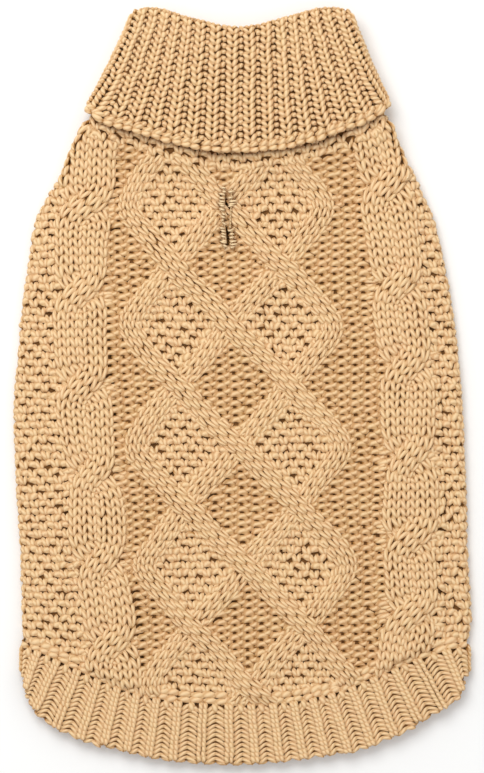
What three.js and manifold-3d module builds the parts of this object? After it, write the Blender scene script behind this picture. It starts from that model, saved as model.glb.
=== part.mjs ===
// Knitted dog sweater, laid flat with its back up. Lengths are in millimetres.
// X runs across the sweater, Y from the tail end to the neck, and Z up from the surface it lies on.
import * as THREE from 'three';
import { mergeVertices } from 'three/addons/utils/BufferGeometryUtils.js';
import Module from 'manifold-3d';

const wasm = await Module();
wasm.setup();

// Driving dimensions
const wallThickness = 3.0;
const seamGap = 0.3;
const hemSeamGap = 0.45;
const flapGap = 0.45;
const layerGap = 0.6;
const underFold = 22;
const neckSeamY = 153.4;
const hemReliefFade = 5;

const flapUnderTop = 10.5;
const flapUnderEdge = 13.0;
const flapSideInset = 2.6;
const tubeSideInset = 3.5;
const flapSettle = 18;
const flapSettleStart = 6;
const collarRibs = 14;
const collarRibRise = 2.0;
const ribStart = 1.15;
const edgeBeadRise = 0.9;
const edgeRound = 0.9;

const hemRibs = 20;
const hemRibRise = 1.7;
const bellyScoop = 10.6;
const bellyHemWidth = 14.3;
const bellyHemSag = 4.8;
const hemSideShare = 0.02;

const cableRise = 3.9;
const cableLift = 1.1;
const cableStrandSpacing = 7.2;
const cableStrandHalfWidth = 8.2;
const cableCrossingWidening = 2.2;
const cableCrossingHeight = 27;

const bandRise = 2.8;
const bandLift = 0.8;
const bandHalfWidth = 8.2;
const latticeLevelHeight = 32.0;
const latticeFirstLevelY = 97.3;
const latticeCornerSharpness = 0.985;
const latticeStrands = 4;
const reliefUnderFlap = 0.5;
const reliefGrowth = 16;

const legOpening = { x: 54, y: 66, halfWidth: 20, halfLength: 29 };
const cutDepth = 20;
const leashSlit = { x: -7.7, top: 107.3, bottom: 72.9, width: 1.0 };

const leastColumn = 0.5;

const bodyHalfDepth = wallThickness + layerGap / 2;
const cableHalfWidth = cableStrandSpacing + cableStrandHalfWidth;
const tubeLift = wallThickness + flapGap;
const foldStartY = -80.8;
const lowestHemY = -167.2;

// Sections of the body from the neck seam to the hem: the outline, the middle of each cable,
// the middle of the lattice and the spacing of its crossings.
const bodySections = [
  { y: 153.4, left: -75.6, leftCable: -73.4, lattice: -11.4, spacing: 24.6, rightCable: 65.5, right: 71.8 },
  { y: 147.0, left: -77.2, leftCable: -74.7, lattice: -11.3, spacing: 24.8, rightCable: 66.8, right: 74.0 },
  { y: 143.9, left: -79.8, leftCable: -76.1, lattice: -11.1, spacing: 24.9, rightCable: 67.6, right: 75.0 },
  { y: 138.5, left: -84.2, leftCable: -78.2, lattice: -10.9, spacing: 25.1, rightCable: 69.7, right: 78.7 },
  { y: 124.8, left: -90.9, leftCable: -80.8, lattice: -10.3, spacing: 25.3, rightCable: 72.9, right: 84.0 },
  { y: 112.1, left: -96.2, leftCable: -82.4, lattice: -9.8, spacing: 25.4, rightCable: 75.5, right: 90.9 },
  { y: 99.4, left: -104.1, leftCable: -83.5, lattice: -9.3, spacing: 25.7, rightCable: 77.1, right: 96.7 },
  { y: 86.7, left: -110.0, leftCable: -84.0, lattice: -8.7, spacing: 25.9, rightCable: 78.7, right: 102.0 },
  { y: 73.9, left: -112.1, leftCable: -85.1, lattice: -8.2, spacing: 26.1, rightCable: 80.3, right: 104.9 },
  { y: 48.5, left: -115.8, leftCable: -86.1, lattice: -7.2, spacing: 26.6, rightCable: 82.4, right: 110.0 },
  { y: 16.7, left: -119.0, leftCable: -85.6, lattice: -5.6, spacing: 26.9, rightCable: 86.1, right: 114.2 },
  { y: -8.7, left: -121.0, leftCable: -84.0, lattice: -4.0, spacing: 27.0, rightCable: 87.7, right: 116.3 },
  { y: -46.9, left: -120.0, leftCable: -79.2, lattice: -1.3, spacing: 27.0, rightCable: 88.8, right: 117.9 },
  { y: -91.4, left: -117.4, leftCable: -75.5, lattice: 1.3, spacing: 26.5, rightCable: 88.8, right: 119.2 },
  { y: -123.2, left: -116.5, leftCable: -70.8, lattice: 2.9, spacing: 26.5, rightCable: 89.3, right: 121.0 },
  { y: -136.5, left: -116.3, leftCable: -69.2, lattice: 3.4, spacing: 26.5, rightCable: 86.1, right: 119.0 },
  { y: -167.5, left: -116.3, leftCable: -66.0, lattice: 4.5, spacing: 26.5, rightCable: 80.8, right: 119.0 },
];

// Heights at which the two strands of each cable cross
const leftCrossings = [144, 96.7, 51.1, 1.9, -45.8, -93.0, -134.9];
const rightCrossings = [152, 106.8, 54.9, 11.4, -36.8, -79.8, -119.5];

// The turned-down collar across its width: its top fold and its free edge
const collarSections = [
  { across: 0, topX: -61.2, topY: 193.7, edgeX: -82.9, edgeY: 147.1 },
  { across: 0.05, topX: -58.0, topY: 199.0, edgeX: -73.9, edgeY: 140.2 },
  { across: 0.15, topX: -46.9, topY: 199.7, edgeX: -58.0, edgeY: 135.7 },
  { across: 0.3, topX: -28.9, topY: 194.8, edgeX: -33.7, edgeY: 128.5 },
  { across: 0.5, topX: -0.8, topY: 190.0, edgeX: -1.3, edgeY: 124.8 },
  { across: 0.7, topX: 26.2, topY: 195.8, edgeX: 29.4, edgeY: 128.5 },
  { across: 0.85, topX: 44.3, topY: 200.0, edgeX: 54.3, edgeY: 136.5 },
  { across: 0.95, topX: 57.0, topY: 199.0, edgeX: 70.2, edgeY: 143.1 },
  { across: 1, topX: 60.2, topY: 193.7, edgeX: 77.6, edgeY: 150.3 },
];

// The hem band across the back: where it joins the body and where it ends
const hemSections = [
  { across: 0, joinX: -116.3, joinY: -136.5, endX: -116.3, endY: -150.8 },
  { across: 0.06, joinX: -106.3, joinY: -139.9, endX: -114.7, endY: -161.4 },
  { across: 0.12, joinX: -95.7, joinY: -145.0, endX: -108.4, endY: -174.1 },
  { across: 0.2, joinX: -79.8, joinY: -152.4, endX: -90.4, endY: -184.7 },
  { across: 0.3, joinX: -59.6, joinY: -160.3, endX: -66.0, endY: -192.1 },
  { across: 0.4, joinX: -35.2, joinY: -165.6, endX: -38.4, endY: -198.0 },
  { across: 0.5, joinX: -1.3, joinY: -167.2, endX: 0.3, endY: -200.0 },
  { across: 0.6, joinX: 27.8, joinY: -165.6, endX: 33.7, endY: -196.4 },
  { across: 0.7, joinX: 50.6, joinY: -160.3, endX: 60.7, endY: -192.1 },
  { across: 0.8, joinX: 72.9, joinY: -151.3, endX: 85.1, endY: -182.6 },
  { across: 0.88, joinX: 88.8, joinY: -144.4, endX: 103.6, endY: -172.0 },
  { across: 0.94, joinX: 105.0, joinY: -138.9, endX: 115.3, endY: -162.4 },
  { across: 1, joinX: 119.0, joinY: -136.5, endX: 119.0, endY: -150.8 },
];

const yarn = new THREE.MeshStandardMaterial({ color: 0xd8b184, roughness: 0.92, metalness: 0 });

// Value of one named column at a key, on a smooth curve through the rows of a table
function tableValue(table, key, at, column) {
  const last = table.length - 1;
  const falling = table[0][key] > table[last][key];
  let row = 1;
  while (row < last && (falling ? at < table[row][key] : at > table[row][key])) {
    row += 1;
  }
  const before = table[row - 1];
  const after = table[row];
  const width = after[key] - before[key];
  const share = THREE.MathUtils.clamp((at - before[key]) / width, 0, 1);
  const slope = (here) => {
    const from = table[Math.max(here - 1, 0)];
    const to = table[Math.min(here + 1, last)];
    return (to[column] - from[column]) / (to[key] - from[key]) * width;
  };
  const bend = share * (1 - share);
  return THREE.MathUtils.lerp(before[column], after[column], share)
    + bend * (1 - share) * (slope(row - 1) - after[column] + before[column])
    - bend * share * (slope(row) - after[column] + before[column]);
}

function softStep(share) {
  return THREE.MathUtils.smoothstep(share, 0, 1);
}

function bodyLine(name, y) {
  return tableValue(bodySections, 'y', y, name);
}

// The free edge of the collar above a place on the body
function flapEdgeY(x) {
  return tableValue(collarSections, 'edgeX', x, 'edgeY');
}

// The body lies on the lower flap of the collar and settles to the surface below it.
function bodyLift(x, y) {
  return tubeLift * (1 - softStep((flapEdgeY(x) - flapSettleStart - y) / flapSettle));
}

function roundedRise(distance, halfWidth) {
  const share = Math.abs(distance) / halfWidth;
  return share < 1 ? Math.sqrt(1 - share * share) : 0;
}

// Two strands turn round each other, half a turn at each crossing.
function cableHeight(x, y, centre, crossings) {
  const turns = crossings.reduce(
    (sum, level) => sum + softStep((level - y) / cableCrossingHeight + 0.5), 0);
  const sideways = Math.cos(Math.PI * turns);
  const above = Math.sin(Math.PI * turns);
  const halfWidth = cableStrandHalfWidth + cableCrossingWidening * Math.abs(above);
  let height = 0;
  for (const side of [1, -1]) {
    const distance = x - centre - side * sideways * cableStrandSpacing;
    const rise = roundedRise(distance, halfWidth);
    height = Math.max(height, rise * (cableRise + side * above * cableLift));
  }
  return height;
}

// Four strands swing from side to side, and cross at every level.
function latticeHeight(x, y) {
  const spacing = bodyLine('spacing', y);
  const position = (x - bodyLine('lattice', y)) / spacing;
  const level = (latticeFirstLevelY - y) / latticeLevelHeight;
  const nearness = Math.max(0, 1 - 2 * Math.abs(level - Math.round(level)));
  let height = 0;
  for (let strand = 0; strand < latticeStrands; strand += 1) {
    const swing = Math.PI * (level + 2 * strand) / 4;
    const reach = Math.asin(latticeCornerSharpness);
    const place = -2 * Math.asin(latticeCornerSharpness * Math.cos(swing)) / reach;
    const over = Math.sign(Math.sin(swing)) * Math.min(1, Math.abs(Math.sin(swing)) * 1.4);
    const lift = Math.abs(place) < 1.6 ? over * bandLift * nearness : 0;
    height = Math.max(height, roundedRise((position - place) * spacing, bandHalfWidth) * (bandRise + lift));
  }
  return height;
}

// Cables and lattice stand up from the back, less under the collar and just above the hem.
function backRelief(x, y) {
  const fromSeam = (neckSeamY - y) / Math.max(neckSeamY - flapEdgeY(x), 1);
  const fromEdge = (flapEdgeY(x) - y) / reliefGrowth;
  const underFlap = reliefUnderFlap * THREE.MathUtils.clamp(fromSeam, 0, 1);
  const grown = underFlap + (1 - reliefUnderFlap) * softStep(fromEdge);
  const nearHem = softStep((y - hemJoinY(x)) / hemReliefFade + 0.35);
  const height = Math.max(
    cableHeight(x, y, bodyLine('leftCable', y), leftCrossings),
    cableHeight(x, y, bodyLine('rightCable', y), rightCrossings),
    latticeHeight(x, y));
  return height * grown * nearHem;
}

function hemJoinY(x) {
  return tableValue(hemSections, 'joinX', x, 'joinY');
}

// The belly ends in a shallow scoop between the two side folds.
function bellyJoinY(x) {
  const first = hemSections[0];
  const last = hemSections[hemSections.length - 1];
  const across = THREE.MathUtils.clamp((x - first.joinX) / (last.joinX - first.joinX), 0, 1);
  return first.joinY + bellyScoop * Math.sin(Math.PI * across);
}

// Rows are level over most of the body and bend to the hem below it.
function rowHeight(level, x, endY) {
  if (level >= foldStartY) {
    return level;
  }
  const share = (level - foldStartY) / (lowestHemY - foldStartY);
  return foldStartY + share * (endY(x) + hemSeamGap - foldStartY);
}

// A place on the body's row, where x is given by a function of y
function placeOnRow(level, xAt, endY) {
  const guess = rowHeight(level, xAt(level), endY);
  const x = xAt(guess);
  return { x, y: rowHeight(level, x, endY) };
}

// Triangles of a closed solid are gathered here, each corner once.
class Faces {
  constructor() {
    this.positions = [];
    this.indices = [];
  }

  corner(point) {
    this.positions.push(point.x, point.y, point.z);
    return this.positions.length / 3 - 1;
  }

  triangle(a, b, c) {
    if (a !== b && b !== c && c !== a) {
      this.indices.push(a, b, c);
    }
  }

  height(corner) {
    return this.positions[corner * 3 + 2];
  }

  // A four-sided patch is split along the line whose ends differ less in height.
  patch(a, b, c, d) {
    if (Math.abs(this.height(a) - this.height(c)) <= Math.abs(this.height(b) - this.height(d))) {
      this.triangle(a, b, c);
      this.triangle(a, c, d);
    } else {
      this.triangle(a, b, d);
      this.triangle(b, c, d);
    }
  }

  grid(corners, reversed) {
    for (let row = 0; row + 1 < corners.length; row += 1) {
      for (let column = 0; column + 1 < corners[row].length; column += 1) {
        const a = corners[row][column];
        const b = corners[row + 1][column];
        const c = corners[row + 1][column + 1];
        const d = corners[row][column + 1];
        if (reversed) {
          this.patch(d, c, b, a);
        } else {
          this.patch(a, b, c, d);
        }
      }
    }
  }

  // A strip between two lines of corners, matched by the stations along each
  strip(first, firstStations, second, secondStations) {
    let i = 0;
    let j = 0;
    while (i + 1 < first.length || j + 1 < second.length) {
      const firstNext = i + 1 < first.length ? firstStations[i + 1] : Infinity;
      const secondNext = j + 1 < second.length ? secondStations[j + 1] : Infinity;
      if (firstNext <= secondNext) {
        this.triangle(first[i], first[i + 1], second[j]);
        i += 1;
      } else {
        this.triangle(first[i], second[j + 1], second[j]);
        j += 1;
      }
    }
  }

  geometry() {
    const geometry = new THREE.BufferGeometry();
    geometry.setAttribute('position', new THREE.Float32BufferAttribute(this.positions, 3));
    geometry.setIndex(this.indices);
    return geometry;
  }
}

// A wall between an outer and an inner surface, closed round its rim. Each surface is a list of
// rows, with a station for each row and column. Rows run down the sweater and columns across it.
function wall(outer, inner) {
  const faces = new Faces();
  const outerCorners = outer.points.map((row) => row.map((point) => faces.corner(point)));
  const innerCorners = inner.points.map((row) => row.map((point) => faces.corner(point)));
  faces.grid(outerCorners, false);
  faces.grid(innerCorners, true);
  const lastRow = (corners) => corners[corners.length - 1];
  const firstColumn = (corners) => corners.map((row) => row[0]);
  const lastColumn = (corners) => corners.map((row) => row[row.length - 1]);
  faces.strip(outerCorners[0], outer.columns, innerCorners[0], inner.columns);
  faces.strip(lastRow(innerCorners), inner.columns, lastRow(outerCorners), outer.columns);
  faces.strip(firstColumn(innerCorners), inner.rows, firstColumn(outerCorners), outer.rows);
  faces.strip(lastColumn(outerCorners), outer.rows, lastColumn(innerCorners), inner.rows);
  return faces.geometry();
}

// A flattened ring: a closed section carried round a closed line
function ringSolid(rings) {
  const faces = new Faces();
  const corners = rings.map((ring) => ring.map((point) => faces.corner(point)));
  const closed = corners.map((ring) => [...ring, ring[0]]);
  closed.push(closed[0]);
  faces.grid(closed, false);
  return faces.geometry();
}

function asManifold(geometry) {
  const plain = geometry.clone();
  plain.deleteAttribute('normal');
  plain.deleteAttribute('uv');
  const merged = mergeVertices(plain, 1e-4);
  return new wasm.Manifold(new wasm.Mesh({
    numProp: 3,
    vertProperties: new Float32Array(merged.attributes.position.array),
    triVerts: new Uint32Array(merged.index.array),
  }));
}

function fromManifold(solid) {
  const mesh = solid.getMesh();
  const geometry = new THREE.BufferGeometry();
  geometry.setAttribute('position', new THREE.BufferAttribute(mesh.vertProperties, 3));
  geometry.setIndex(new THREE.BufferAttribute(mesh.triVerts, 1));
  return geometry;
}

function spread(from, to, parts) {
  return Array.from({ length: parts + 1 }, (_, step) => from + (to - from) * step / parts);
}

// Columns across a cable, as shares of its half width
const cableShares = [-1.02, -0.86, -0.58, -0.29, 0, 0.29, 0.58, 0.86, 1.02];

// Columns across the lattice, as distances from its middle in crossings
const latticePlaces = spread(-2.5, 2.5, 30);

// Rows of the ribbed and cabled top, and the fewer rows of the plain surfaces, which are closer
// together where the body climbs onto the collar
const topLevels = spread(neckSeamY, lowestHemY, 60);
const plainRows = [0, 2, 4, 6, 8, 10, 12, 14, 16, 20, 25, 30, 35, 40, 45, 50, 55, 60];
const plainLevels = plainRows.map((row) => topLevels[row]);
const bellyShares = spread(0, 1, 12);
const innerShares = [-0.075, -0.035, ...bellyShares, 1.035, 1.075];

// A place on a row between the two belly seams, where share runs from the left seam to the right one
function placeBetweenSeams(level, share, fold, endY) {
  const xAt = (y) => THREE.MathUtils.lerp(bodyLine('left', y) + fold, bodyLine('right', y) - fold, share);
  return placeOnRow(level, xAt, endY);
}

// The seam of the belly runs straight from one plain row to the next.
function placeOnSeam(level, side) {
  const row = Math.max(1, plainLevels.findIndex((plain) => plain <= level + 1e-9));
  const above = placeBetweenSeams(plainLevels[row - 1], side < 0 ? 0 : 1, underFold, bellyJoinY);
  const below = placeBetweenSeams(plainLevels[row], side < 0 ? 0 : 1, underFold, bellyJoinY);
  const share = (plainLevels[row - 1] - level) / (plainLevels[row - 1] - plainLevels[row]);
  return {
    x: THREE.MathUtils.lerp(above.x, below.x, share),
    y: THREE.MathUtils.lerp(above.y, below.y, share),
  };
}

// Places across the top of the back at one height, from the left side to the right one. They follow
// the cables and the lattice, and keep a least distance where two of these meet.
function topPlaces(y) {
  const left = bodyLine('left', y) + bodyHalfDepth;
  const right = bodyLine('right', y) - bodyHalfDepth;
  const leftCableSide = Math.max(bodyLine('leftCable', y) - cableHalfWidth, left);
  const rightCableSide = Math.min(bodyLine('rightCable', y) + cableHalfWidth, right);
  const places = [
    ...[0.35, 0.7].map((share) => THREE.MathUtils.lerp(left, leftCableSide, share)),
    ...[0.3, 0.65].map((share) => THREE.MathUtils.lerp(rightCableSide, right, share)),
  ];
  for (const name of ['leftCable', 'rightCable']) {
    places.push(...cableShares.map((share) => bodyLine(name, y) + share * cableHalfWidth));
  }
  const middle = bodyLine('lattice', y);
  const spacing = bodyLine('spacing', y);
  places.push(...latticePlaces.map((place) => middle + place * spacing));
  places.sort((a, b) => a - b);
  for (let index = 0; index < places.length; index += 1) {
    const before = index ? places[index - 1] : left;
    places[index] = Math.max(places[index], before + leastColumn);
  }
  for (let index = places.length - 1; index >= 0; index -= 1) {
    const after = index + 1 < places.length ? places[index + 1] : right;
    places[index] = Math.min(places[index], after - leastColumn);
  }
  return places;
}

const roundAngles = [-90, -45, 0, 45, 90].map(THREE.MathUtils.degToRad);

// The back panel: its top, both side folds and the narrow strips that turn under to the belly seams
function backPanel() {
  const topCount = topPlaces(neckSeamY).length;
  const topIndices = Array.from({ length: topCount }, (_, index) => index);

  function foldPoint(level, side, angle, radius) {
    const name = side < 0 ? 'left' : 'right';
    const xAt = (y) => bodyLine(name, y) - side * (bodyHalfDepth - radius * Math.cos(angle));
    const place = placeOnRow(level, xAt, angle > 0 ? hemJoinY : bellyJoinY);
    const middle = bodyLift(place.x, place.y) + bodyHalfDepth;
    const relief = radius > wallThickness ? backRelief(place.x, place.y) * Math.max(0, Math.sin(angle)) : 0;
    return new THREE.Vector3(place.x, place.y, middle + radius * Math.sin(angle) + relief);
  }

  function underPoint(level, side, depth) {
    const place = placeOnSeam(level, side);
    return new THREE.Vector3(place.x, place.y, bodyLift(place.x, place.y) + depth);
  }

  function topPoint(level, index) {
    const place = placeOnRow(level, (y) => topPlaces(y)[index], hemJoinY);
    const base = bodyLift(place.x, place.y) + 2 * bodyHalfDepth;
    return new THREE.Vector3(place.x, place.y, base + backRelief(place.x, place.y));
  }

  const outer = {
    rows: topLevels.map((level) => -level),
    columns: [
      0, 1, 1.25, 1.5, 1.75, 2,
      ...topIndices.map((index) => 2 + 10 * (index + 1) / (topCount + 1)),
      12, 12.25, 12.5, 12.75, 13, 14,
    ],
    points: topLevels.map((level) => [
      underPoint(level, -1, 0),
      ...roundAngles.map((angle) => foldPoint(level, -1, angle, bodyHalfDepth)),
      ...topIndices.map((index) => topPoint(level, index)),
      ...roundAngles.toReversed().map((angle) => foldPoint(level, 1, angle, bodyHalfDepth)),
      underPoint(level, 1, 0),
    ]),
  };

  const innerRadius = layerGap / 2;
  const innerAngles = [-Math.PI / 2, 0, Math.PI / 2];
  const innerTop = (level, share) => {
    const place = placeBetweenSeams(level, share, underFold + seamGap, hemJoinY);
    const z = bodyLift(place.x, place.y) + bodyHalfDepth + innerRadius;
    return new THREE.Vector3(place.x, place.y, z);
  };
  const inner = {
    rows: plainLevels.map((level) => -level),
    columns: [0, 1, 1.5, 2, ...innerShares.map((share) => 2.8 + 8.4 * share), 12, 12.5, 13, 14],
    points: plainLevels.map((level) => [
      underPoint(level, -1, wallThickness),
      ...innerAngles.map((angle) => foldPoint(level, -1, angle, innerRadius)),
      ...innerShares.map((share) => innerTop(level, share)),
      ...innerAngles.toReversed().map((angle) => foldPoint(level, 1, angle, innerRadius)),
      underPoint(level, 1, wallThickness),
    ]),
  };

  const slit = new THREE.BoxGeometry(leashSlit.width, leashSlit.top - leashSlit.bottom, cutDepth);
  const slitBottom = wallThickness + seamGap / 2;
  slit.translate(leashSlit.x, (leashSlit.top + leashSlit.bottom) / 2, slitBottom + cutDepth / 2);
  return fromManifold(asManifold(wall(outer, inner)).subtract(asManifold(slit)));
}

// The belly panel lies between the two seams and has an opening for each front leg.
function bellyPanel() {
  const surface = (height) => plainLevels.map((level) => bellyShares.map((share) => {
    const place = placeBetweenSeams(level, share, underFold + seamGap, bellyJoinY);
    return new THREE.Vector3(place.x, place.y, bodyLift(place.x, place.y) + height);
  }));
  const rows = plainLevels.map((level) => -level);
  const panel = wall(
    { rows, columns: bellyShares, points: surface(wallThickness) },
    { rows, columns: bellyShares, points: surface(0) });
  let solid = asManifold(panel);
  for (const side of [-1, 1]) {
    const outline = new THREE.Shape();
    outline.absellipse(0, 0, legOpening.halfWidth, legOpening.halfLength, 0, 2 * Math.PI, false);
    const cut = new THREE.ExtrudeGeometry(
      outline, { depth: cutDepth, bevelEnabled: false, curveSegments: 24 });
    cut.translate(side * legOpening.x, legOpening.y, -cutDepth / 2);
    solid = solid.subtract(asManifold(cut));
  }
  return fromManifold(solid);
}

const sideAngles = [30, 60, 90].map(THREE.MathUtils.degToRad);
const underShares = spread(0.9, 0.1, 8);

// Rounded side of a flattened ring: full height away from the side, none at it
function sideRounding(distance, radius) {
  const share = THREE.MathUtils.clamp(1 - distance / radius, 0, 1);
  return Math.sqrt(1 - share * share);
}

// Raised ribs with narrow grooves: where each corner lies in a rib, and whether it is raised
const collarRibShape = [
  { place: 0.08, raised: 0 },
  { place: 0.24, raised: 1 },
  { place: 0.76, raised: 1 },
  { place: 0.92, raised: 0 },
];

// Narrow raised ribs with wide grooves
const hemRibShape = [
  { place: 0.14, raised: 0 },
  { place: 0.34, raised: 1 },
  { place: 0.66, raised: 1 },
  { place: 0.86, raised: 0 },
];

// Corners of one ring: up its left side, over its ribs, down its right side and back underneath
function ringCorners(point, shareAt, ribs) {
  return [
    point(0, 1, 0),
    ...sideAngles.map((angle) => point(shareAt(angle), 1, 0)),
    ...ribs,
    ...sideAngles.toReversed().map((angle) => point(1 - shareAt(angle), 1, 0)),
    point(1, 1, 0),
    ...sideAngles.map((angle) => point(1 - shareAt(angle), -1, 0)),
    ...underShares.map((across) => point(across, -1, 0)),
    ...sideAngles.toReversed().map((angle) => point(shareAt(angle), -1, 0)),
  ];
}

function ribColumns(count, shape) {
  const columns = [];
  for (let rib = 0; rib < count; rib += 1) {
    for (const corner of shape) {
      columns.push({ across: (rib + corner.place) / count, raised: corner.raised });
    }
  }
  return columns;
}

// The collar: a ribbed tube from the neck seam up to its fold and down again over itself.
// Each row of the section gives the tube's place along its length and its heights above the surface.
function collarRows() {
  const tubeMiddle = tubeLift + bodyHalfDepth;
  const foldTop = { outer: flapUnderTop + wallThickness, inner: tubeMiddle + layerGap / 2 };
  const foldBottom = { outer: 0, inner: tubeMiddle - layerGap / 2 };
  const tubeTop = tubeLift + 2 * bodyHalfDepth;
  const flapTop = flapUnderEdge + wallThickness;
  const rows = [
    { line: 'edge', along: 1, inset: edgeRound, top: flapTop - edgeRound, bottom: edgeRound, rib: 0.1 },
    { line: 'edge', along: 0.985, inset: 0, top: flapTop, bottom: 0, rib: 0.3, bead: 0.8 },
    { line: 'edge', along: 0.93, inset: 0, top: flapTop, bottom: 0, rib: 0.4, bead: 1 },
    { line: 'edge', along: 0.88, inset: 0, top: flapTop, bottom: 0, rib: 0.8, bead: 0 },
    { line: 'edge', along: 0.5, inset: 0, top: (flapTop + foldTop.outer) / 2, bottom: 0, rib: 1, bead: 0 },
  ];
  for (const angle of spread(0, Math.PI, 4)) {
    const turn = Math.cos(angle) / 2;
    rows.push({
      line: 'edge',
      along: 0,
      reach: Math.sin(angle),
      inset: (0.5 - turn) * 2 * bodyHalfDepth,
      top: THREE.MathUtils.lerp(foldTop.inner, foldTop.outer, 0.5 + turn),
      bottom: THREE.MathUtils.lerp(foldBottom.inner, foldBottom.outer, 0.5 + turn),
      rib: Math.max(0, Math.cos(angle)),
      bead: 0,
    });
  }
  rows.push({ line: 'seam', along: 1, inset: wallThickness, top: foldTop.inner, bottom: foldBottom.inner });
  rows.push({ line: 'seam', along: 1, inset: 0, top: tubeTop, bottom: tubeLift });
  rows.push({ line: 'seam', along: 0, inset: tubeSideInset, top: tubeTop, bottom: tubeLift });
  rows.push({ line: 'edge', along: 0, inset: flapSideInset, top: flapUnderTop, bottom: wallThickness });
  rows.push({ line: 'edge', along: 1, inset: flapSideInset, top: flapUnderEdge, bottom: wallThickness });
  return rows;
}

function collar() {
  const foldReach = bodyHalfDepth;
  const seamEnds = { left: bodyLine('left', neckSeamY), right: bodyLine('right', neckSeamY) };

  function ring(row) {
    const radius = (row.top - row.bottom) / 2;
    const middle = (row.top + row.bottom) / 2;
    const column = (name, across) => tableValue(collarSections, 'across', across, name);
    const target = (across) => (row.line === 'edge'
      ? { x: column('edgeX', across), y: column('edgeY', across) }
      : { x: THREE.MathUtils.lerp(seamEnds.left, seamEnds.right, across), y: neckSeamY + seamGap });
    const lineX = (across) => THREE.MathUtils.lerp(column('topX', across), target(across).x, row.along);
    const leftX = lineX(0);
    const rightX = lineX(1);
    const centreX = (leftX + rightX) / 2;
    const halfWidth = (rightX - leftX) / 2;
    const narrowing = 1 - row.inset / halfWidth;

    function point(across, upper, rise) {
      const x = centreX + (lineX(across) - centreX) * narrowing;
      const side = halfWidth * narrowing - Math.abs(x - centreX);
      const y = THREE.MathUtils.lerp(column('topY', across) - foldReach, target(across).y, row.along)
        + foldReach * (row.reach ?? 0);
      const round = sideRounding(side, radius);
      return new THREE.Vector3(x, y, middle + upper * radius * round + rise * round);
    }

    const sideShare = radius / (2 * halfWidth * narrowing);
    const shareAt = (angle) => sideShare * (1 - Math.cos(angle));
    const ribs = ribColumns(collarRibs, collarRibShape).map((rib) => {
      const across = THREE.MathUtils.lerp(sideShare * ribStart, 1 - sideShare * ribStart, rib.across);
      const rise = (row.rib ?? 0) * collarRibRise * rib.raised + (row.bead ?? 0) * edgeBeadRise;
      return point(across, 1, rise);
    });
    return ringCorners(point, shareAt, ribs);
  }

  return ringSolid(collarRows().toReversed().map(ring));
}

// The hem band: a ribbed ring that carries on from the body's lower edge
function hemBand() {
  const rows = [
    { along: 0, top: 2 * bodyHalfDepth, bottom: 0, rib: 0.25 },
    { along: 0.12, top: 2 * bodyHalfDepth, bottom: 0, rib: 1 },
    { along: 0.55, top: 2 * bodyHalfDepth, bottom: 0, rib: 1 },
    { along: 0.95, top: 2 * bodyHalfDepth, bottom: 0, rib: 0.9 },
    { along: 1, top: 2 * bodyHalfDepth - edgeRound, bottom: edgeRound, rib: 0.6 },
    { along: 1, top: bodyHalfDepth + layerGap / 2, bottom: wallThickness, inside: true },
    { along: 0, top: bodyHalfDepth + layerGap / 2, bottom: wallThickness, inside: true },
  ];

  function ring(row) {
    const radius = (row.top - row.bottom) / 2;
    const middle = (row.top + row.bottom) / 2;
    const insideShift = row.inside ? wallThickness : 0;

    function point(across, upper, rise) {
      const column = (name) => tableValue(hemSections, 'across', across, name);
      const joinY = upper > 0 ? hemJoinY(column('joinX')) : bellyJoinY(column('joinX'));
      const endY = upper > 0
        ? column('endY')
        : joinY - bellyHemWidth - bellyHemSag * Math.sin(Math.PI * across);
      const endX = upper > 0 ? column('endX') : column('joinX');
      const x = THREE.MathUtils.lerp(column('joinX'), endX, row.along);
      const inward = insideShift * Math.sign(0.5 - across) * (Math.abs(across - 0.5) > 0.45 ? 1 : 0);
      const round = sideRounding(Math.min(across, 1 - across), hemSideShare);
      return new THREE.Vector3(
        x + inward * (1 - round), THREE.MathUtils.lerp(joinY, endY, row.along),
        middle + upper * radius * round + rise * round);
    }

    const shareAt = (angle) => hemSideShare * (1 - Math.cos(angle));
    const ribs = ribColumns(hemRibs, hemRibShape).map((rib) => point(
      THREE.MathUtils.lerp(hemSideShare, 1 - hemSideShare, rib.across),
      1, (row.rib ?? 0) * hemRibRise * rib.raised));
    return ringCorners(point, shareAt, ribs);
  }

  return ringSolid(rows.map(ring));
}

const group = new THREE.Group();
const pieces = { back_panel: backPanel(), belly_panel: bellyPanel(), collar: collar(), hem_band: hemBand() };
for (const [name, geometry] of Object.entries(pieces)) {
  const mesh = new THREE.Mesh(geometry, yarn);
  mesh.name = name;
  group.add(mesh);
}

export default group;
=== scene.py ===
import math

import bmesh
import bpy
import numpy as np
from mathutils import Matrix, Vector


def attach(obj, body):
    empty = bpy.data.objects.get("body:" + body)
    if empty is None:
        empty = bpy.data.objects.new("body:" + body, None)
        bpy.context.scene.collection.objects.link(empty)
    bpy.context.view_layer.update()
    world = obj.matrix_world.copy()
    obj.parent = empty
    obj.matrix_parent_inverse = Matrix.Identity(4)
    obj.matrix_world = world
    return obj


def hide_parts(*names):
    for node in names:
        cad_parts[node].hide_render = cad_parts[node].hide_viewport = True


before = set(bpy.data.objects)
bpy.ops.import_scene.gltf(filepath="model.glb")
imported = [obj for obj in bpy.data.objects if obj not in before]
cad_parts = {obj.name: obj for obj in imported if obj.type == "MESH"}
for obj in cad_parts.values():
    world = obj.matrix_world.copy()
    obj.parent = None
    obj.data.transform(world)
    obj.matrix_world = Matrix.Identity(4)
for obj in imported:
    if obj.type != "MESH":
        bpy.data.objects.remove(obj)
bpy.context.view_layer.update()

random = np.random.default_rng(11)

# Lengths are in millimetres up to the moment a mesh is made
millimetre = 0.001

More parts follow.
